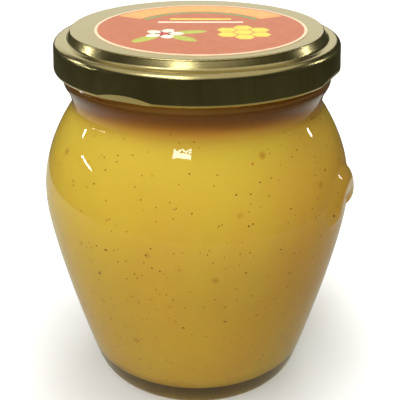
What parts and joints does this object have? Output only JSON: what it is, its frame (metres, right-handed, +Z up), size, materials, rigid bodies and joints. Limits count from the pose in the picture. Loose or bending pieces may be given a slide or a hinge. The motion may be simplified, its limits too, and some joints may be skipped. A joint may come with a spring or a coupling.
{
  "type": "jar of creamed honey",
  "caption": "Pot-bellied clear glass jar with small handle ears, filled with speckled creamed honey, closed by a gold twist-off lid with a round paper label.",
  "frame": {"origin": "centre of the jar's footprint, on the surface it stands on", "axes": "+Z up along the jar's axis, +X towards one handle ear and -X towards the other, -Y is a plain side"},
  "size_m": [0.0852, 0.0834, 0.0985],
  "materials": {
    "glass": "clear moulded glass",
    "honey": "opaque golden creamed honey with fine brown specks",
    "lacquered_tinplate": "gold lacquered tinplate, semi-gloss",
    "paper": "printed self-adhesive paper"
  },
  "bodies": {
    "root": {"jar": "glass", "honey": "honey", "lid": "lacquered_tinplate", "label": "paper"}
  },
  "joints": []
}
